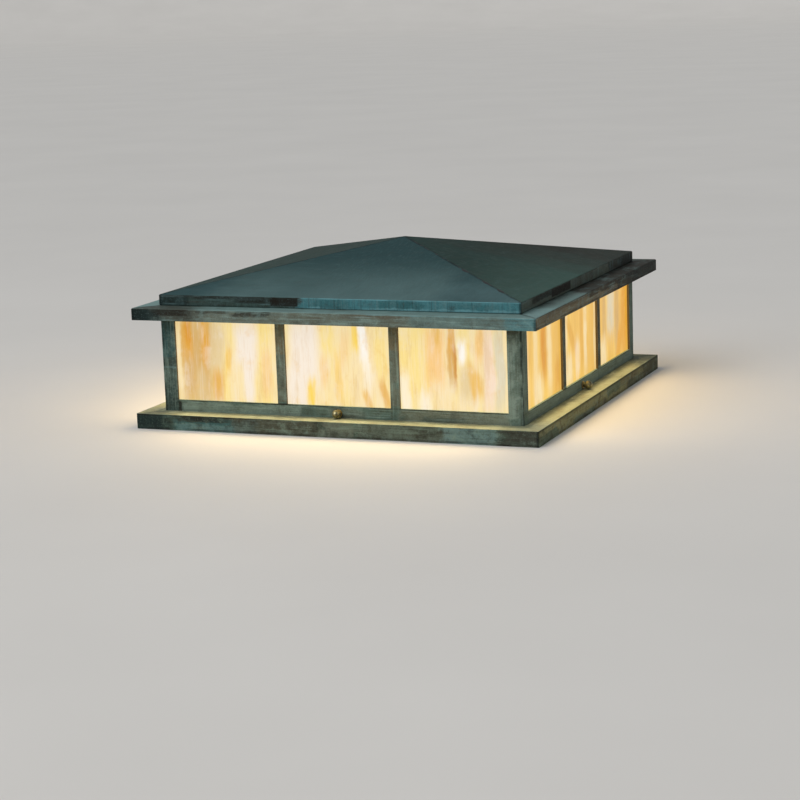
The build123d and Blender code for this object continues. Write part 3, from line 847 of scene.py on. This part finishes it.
def lay_streaks(surface, streaks, swayed, frayed):
    """Lays streaks on the glass, soft at their sides and ends. Swayed and frayed are the uneven places
    along the side and in height that they follow."""
    for middle_along, middle_height, half_width, half_length, lean, tint, share in streaks:
        rise = surface.calc("SUBTRACT", surface.height, middle_height * MM)
        line = surface.calc("MULTIPLY_ADD", rise, lean, middle_along * MM)
        across = surface.calc("ABSOLUTE", surface.calc("SUBTRACT", swayed, line))
        along = surface.calc("ABSOLUTE", surface.calc("SUBTRACT", frayed, middle_height * MM))
        side_fade = surface.ease(across, half_width * 1.2 * MM, half_width * 0.35 * MM)
        end_fade = surface.ease(along, half_length * 1.3 * MM, half_length * 0.3 * MM)
        surface.coat(tint, side_fade, end_fade, share)


def art_glass(name, seed, streaks, ground, veil):
    """Streaky opalescent glass, lit from behind. The ground is its two tints under the streaks, and the
    veil is the tint of the fine pale wisps over them."""
    surface = Surface(name)
    surface.survey()
    shift = seed * 3.7
    fibre = surface.stretched(160.0, 1.0, 14.0, shift=shift)
    hair = surface.stretched(500.0, 1.0, 26.0, detail=2.0, shift=shift)
    sway = surface.stretched(20.0, 1.0, 13.0, shift=shift)
    broad = surface.stretched(34.0, 1.0, 4.0, detail=3.0, shift=shift + 1.3)
    wisp = surface.stretched(70.0, 1.0, 15.0, detail=5.0, shift=shift + 2.1)
    mottle = surface.stretched(42.0, 1.0, 28.0, detail=5.0, roughness=0.62, shift=shift + 4.9)

    fray = surface.calc("SUBTRACT", fibre, 0.5)
    swayed = surface.calc("MULTIPLY_ADD", surface.calc("SUBTRACT", sway, 0.5), 18 * MM, surface.along)
    swayed = surface.calc("MULTIPLY_ADD", fray, 7 * MM, swayed)
    frayed = surface.calc("MULTIPLY_ADD", fray, 36 * MM, surface.height)

    surface.colour = ground[0]
    surface.coat(ground[1], surface.ease(broad, 0.36, 0.64))
    lay_streaks(surface, streaks, swayed, frayed)
    surface.coat(veil, surface.ease(mottle, 0.52, 0.72), 0.28)
    surface.coat(HONEY, surface.ease(mottle, 0.46, 0.28), 0.32)
    surface.coat(veil, surface.ease(wisp, 0.52, 0.76), 0.35)
    surface.coat(TAN, surface.ease(wisp, 0.48, 0.28), 0.3)
    surface.coat(veil, surface.ease(hair, 0.5, 0.72), 0.18)
    surface.coat(TAN, surface.ease(hair, 0.46, 0.28), 0.18)

    surface.set(Base_Color=surface.blend(0.85, surface.colour, UNLIT), Roughness=0.25,
                Specular_IOR_Level=0.12, Emission_Color=surface.colour, Emission_Strength=0.86)
    surface.bump(surface.calc("MULTIPLY_ADD", sway, 2.0, wisp), 0.25 * MM)
    return surface.material


def paint():
    """Gives the nodes of the frame their finishes, apart from the panes, and returns these by slot."""
    roof_tones = (rgb(56, 80, 82), rgb(74, 100, 102), rgb(100, 128, 130), rgb(56, 50, 42))
    cornice_tones = (rgb(82, 108, 108), rgb(96, 122, 120), rgb(132, 160, 156), rgb(70, 62, 50))
    frame_tones = (rgb(78, 96, 87), rgb(98, 116, 105), rgb(132, 152, 141), rgb(64, 64, 50))
    skirt_tones = (rgb(58, 76, 68), rgb(78, 96, 84), rgb(112, 130, 116), rgb(48, 44, 34))
    ledge_tones = (rgb(146, 150, 122), rgb(166, 170, 140), rgb(190, 192, 162), rgb(122, 110, 80))
    roof = verdigris("roof_verdigris", roof_tones, ROOF_MARKS,
                     tarnish=0.4, mottle=0.3, blotch=0.2, still=0.22, bars=ROOF_BARS)
    cornice = verdigris("cornice_verdigris", cornice_tones, CORNICE_MARKS,
                        tarnish=0.5, mottle=0.3, blotch=0.3, still=0.6)
    rails = verdigris("frame_verdigris", frame_tones, FRAME_MARKS,
                      tarnish=0.5, mottle=0.35, blotch=0.25, still=0.2, bars=FRAME_BARS,
                      reveal=(GLASS_FACE, GLASS_FACE + BAR_THICKNESS))
    skirt = verdigris("skirt_verdigris", skirt_tones, SKIRT_MARKS,
                      tarnish=0.5, mottle=0.6, blotch=0.45, still=0.4)
    ledge = verdigris("ledge_verdigris", ledge_tones, LEDGE_MARKS,
                      tarnish=0.4, mottle=0.4, blotch=0.2, still=0.8)
    finishes = {
        "roof_patina": roof,
        "frame_patina": rails,
        "base_patina": skirt,
        "bare_brass": metal("brass", rgb(192, 164, 104), rgb(164, 138, 84), 0.38),
        "knob_brass": metal("knob_brass", rgb(168, 160, 122), rgb(86, 82, 60), 0.3),
        "zinc_steel": metal("zinc_steel", rgb(186, 188, 192), rgb(140, 142, 146), 0.4),
        "lamp_shell": metal("lamp_shell_metal", rgb(205, 202, 196), rgb(160, 156, 150), 0.3),
        "white_enamel": coating("white_enamel", rgb(232, 231, 225), rgb(218, 216, 208), 0.4, 40.0),
        "porcelain": coating("porcelain", rgb(238, 234, 226), rgb(228, 223, 212), 0.2, 60.0),
        "opal_glass": lamp_glass("opal_globe"),
        "black_rubber": coating("black_rubber", rgb(34, 34, 35), rgb(48, 48, 48), 0.7, 200.0),
        "lead_insulation": coating("lead_insulation", rgb(52, 52, 55), rgb(66, 66, 68), 0.55, 300.0),
        "terminal_plastic": coating("terminal_plastic", rgb(212, 205, 190), rgb(198, 190, 174), 0.5, 120.0),
        "green_enamel": coating("green_enamel", rgb(38, 122, 60), rgb(30, 100, 50), 0.35, 200.0),
    }
    own_finish = {"base_plate": ledge}
    own_finish.update({f"cornice_{side}": cornice for side in SIDES})
    for part in frame["record"]["subparts"]:
        slot = part["material_slot"]
        node = part["node"]
        if node in own_finish:
            give(nodes[node], own_finish[node])
        elif slot in finishes:
            give(nodes[node], finishes[slot])
    return finishes


# Pieces


def soften_edges():
    """Rounds the sharp edges of the bars and angles a little, as filed brass has them."""
    filed = ("corner_post", "sill_rail", "muntins", "head_rails", "curb_angles")
    for name, node in nodes.items():
        if name.startswith(filed):
            bevel = node.modifiers.new("filed_edges", "BEVEL")
            bevel.width = FILED_WIDTH
            bevel.segments = 2
            bevel.limit_method = "ANGLE"
            bevel.angle_limit = FILED_ANGLE


def pane_points(form, low, high, y, depth, phase):
    """The points of one face of a pane, column by column, which swell by up to the depth inside its rim."""
    grid = []
    for column in range(PANE_COLUMNS + 1):
        x = low.x + (high.x - low.x) * column / PANE_COLUMNS
        line = []
        for row in range(PANE_ROWS + 1):
            z = low.z + (high.z - low.z) * row / PANE_ROWS
            inside = 0 < column < PANE_COLUMNS and 0 < row < PANE_ROWS
            swell = noise.noise(Vector((x * SWELLS_ALONG, z * SWELLS_UP, phase))) * 0.5 + 0.5
            line.append(form.verts.new((x, y + depth * swell * inside, z)))
        grid.append(line)
    return grid


def close_pane(form, front, back):
    """Faces over the front and the back points of a pane, and round its rim."""
    for grid, flip in ((front, False), (back, True)):
        for here, beside in zip(grid, grid[1:]):
            for row in range(PANE_ROWS):
                ring = [here[row], beside[row], beside[row + 1], here[row + 1]]
                form.faces.new(ring[::-1] if flip else ring)
    rim = [(column, 0) for column in range(PANE_COLUMNS)]
    rim += [(PANE_COLUMNS, row) for row in range(PANE_ROWS)]
    rim += [(column, PANE_ROWS) for column in range(PANE_COLUMNS, 0, -1)]
    rim += [(0, row) for row in range(PANE_ROWS, 0, -1)]
    for (column, row), (next_column, next_row) in zip(rim, rim[1:] + rim[:1]):
        form.faces.new((front[next_column][next_row], front[column][row],
                        back[column][row], back[next_column][next_row]))


def rippled_pane(side, pane, material):
    """A pane of rolled glass: its box from the frame, with a gently wavy outer face."""
    turn_back = Matrix.Rotation(math.radians(-SIDES[side]), 4, "Z")
    ends = [turn_back @ Vector(corner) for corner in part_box(f"glass_{side}_{pane}")]
    low = Vector([min(pair) for pair in zip(*ends)])
    high = Vector([max(pair) for pair in zip(*ends)])
    form = bmesh.new()
    front = pane_points(form, low, high, low.y, RIPPLE_DEPTH, SIDES[side])
    back = pane_points(form, low, high, high.y, 0.0, SIDES[side])
    close_pane(form, front, back)
    form.transform(turn_to(side))
    piece = finished_piece(form, f"pane_{side}_{pane}", material)
    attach(piece, "lantern")
    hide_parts(f"glass_{side}_{pane}")


def glaze():
    """Makes every pane, each of its own glass: the right and left sides are warmer."""
    for side_number, side in enumerate(SIDES):
        for pane_number, pane in enumerate(PANES):
            streaks = STREAKS.get((side, pane)) or chance_streaks(side, pane)
            seed = side_number * len(PANES) + pane_number
            on_flank = side in ("right", "left")
            ground, veil = ((GOLD, HONEY), GOLD) if on_flank else ((CREAM, STRAW), MILK)
            rippled_pane(side, pane, art_glass(f"art_glass_{side}_{pane}", seed, streaks, ground, veil))


def lantern_glow():
    """The warm light that the lit panes of each side throw on the ledge and the floor."""
    low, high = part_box("glass_front_centre")
    for side in SIDES:
        data = bpy.data.lights.new(f"glow_{side}", "AREA")
        data.shape = "RECTANGLE"
        data.size = len(PANES) * (high[0] - low[0])
        data.size_y = high[2] - SILL_TOP - GLOW_HEAD
        data.energy = GLOW_POWER
        data.color = GLOW_COLOUR
        light = add_object(f"glow_{side}", data)
        outward = facing(side)
        light.location = outward * (GLASS_FACE + GLOW_GAP) + Vector((0, 0, SILL_TOP + data.size_y / 2))
        light.rotation_euler = outward.to_track_quat("-Z", "Y").to_euler()
        light.visible_camera = False
        light.visible_glossy = False
        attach(light, "lantern")


def solder_bead(start, end, phase, knots):
    """A flat uneven bead between two points, thin at its ends, with a lump at each knot along it."""
    radius = 1.2 * MM
    widened = 1.5
    flattened = 0.4
    steps = 120
    taper_steps = 3
    ring_points = 8
    knot_length = 0.02
    direction = (end - start).normalized()
    across = direction.cross(Vector((0, 0, 1))).normalized()
    upward = across.cross(direction)
    form = bmesh.new()
    rings = []
    for step in range(steps + 1):
        centre = start.lerp(end, step / steps)
        lump = 0.8 + 0.5 * noise.noise(Vector((step * 0.41, phase, 0.0)))
        lump += sum(math.exp(-((step / steps - knot) / knot_length) ** 2) for knot in knots)
        pinch = min(1.0, step / taper_steps, (steps - step) / taper_steps) * 0.9 + 0.1
        size = radius * lump * pinch
        ring = []
        for index in range(ring_points):
            turn = math.tau * index / ring_points
            beside = across * math.cos(turn) * size * widened
            above = upward * math.sin(turn) * size * flattened
            ring.append(form.verts.new(centre + beside + above))
        rings.append(ring)
    bridge(form, rings)
    form.faces.new(rings[0][::-1])
    form.faces.new(rings[-1])
    return form


def hip_seams(material):
    """A bead of blackened solder along each hip of the roof: the one at the front right has knots."""
    eave_inset = 2.5 * MM
    apex_drop = 0.4 * MM
    start = Vector((HALF_ROOF - eave_inset, -HALF_ROOF + eave_inset, EAVE_TOP))
    end = Vector((0.0, 0.0, APEX - apex_drop))
    for side, angle in SIDES.items():
        knots = (0.15, 0.27, 0.45) if side == "front" else ()
        form = solder_bead(start, end, angle, knots)
        form.transform(turn_to(side))
        piece = finished_piece(form, f"hip_seam_{side}", material)
        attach(piece, "lantern")


def reach(side, node):
    """How far out a node of a side starts and ends."""
    outward = facing(side)
    return sorted(outward.dot(Vector(corner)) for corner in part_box(node))


def screw_rows(start, end, knob_radius):
    """The outline of a screw from its point to the end of its ball: distance from the seat, radius and
    depth of thread."""
    shank = 2.5 * MM
    neck = 3.5 * MM
    point = 0.6 * MM
    depth = 0.25 * MM
    ball_steps = 24
    rows = [(start, shank - point, 0.0)]
    place = start + point
    while place < -THREAD_PITCH:
        rows.append((place, shank, depth))
        place += THREAD_PITCH / 4
    rows += [(-0.5 * THREAD_PITCH, shank - depth, 0.0), (0.0, shank, 0.0), (0.0, neck, 0.0)]
    middle = end - knob_radius
    neck_angle = math.pi - math.asin(neck / knob_radius)
    for step in range(ball_steps):
        angle = neck_angle * (1 - step / ball_steps)
        rows.append((middle + knob_radius * math.cos(angle), knob_radius * math.sin(angle), 0.0))
    return rows


def turned_screw(rows, end):
    """The outline of a screw turned about +Z, with its thread, and closed at its point and its ball."""
    segments = 48
    form = bmesh.new()
    rings = []
    for place, radius, depth in rows:
        ring = []
        for index in range(segments):
            angle = math.tau * index / segments
            tooth = abs(2 * ((place / THREAD_PITCH - index / segments) % 1.0) - 1)
            span = radius - depth * tooth
            ring.append(form.verts.new((span * math.cos(angle), span * math.sin(angle), place)))
        rings.append(ring)
    bridge(form, rings)
    tip = form.verts.new((0.0, 0.0, end))
    for index in range(segments):
        form.faces.new((rings[-1][index], rings[-1][(index + 1) % segments], tip))
    form.faces.new(rings[0][::-1])
    return form


def thumb_screws(material):
    """Thumb screws with a ball knob and a threaded shank."""
    for side in SIDES:
        low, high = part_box(f"thumb_screw_{side}")
        start, end = reach(side, f"thumb_screw_{side}")
        seat = reach(side, f"screw_washer_{side}")[1]
        rows = screw_rows(start - seat, end - seat, (high[2] - low[2]) / 2)
        form = turned_screw(rows, end - seat)
        seated = Matrix.Translation((0.0, -seat, (low[2] + high[2]) / 2))
        lying = seated @ Matrix.Rotation(math.pi / 2, 4, "X")
        form.transform(turn_to(side) @ lying)
        piece = finished_piece(form, f"ball_screw_{side}", material)
        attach(piece, f"screw_{side}")
        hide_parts(f"thumb_screw_{side}")


add_camera()
add_stage()
finishes = paint()
soften_edges()
glaze()
lantern_glow()
hip_seams(coating("blackened_solder", rgb(18, 24, 24), rgb(32, 38, 37), 0.7, 300.0))
thumb_screws(finishes["knob_brass"])
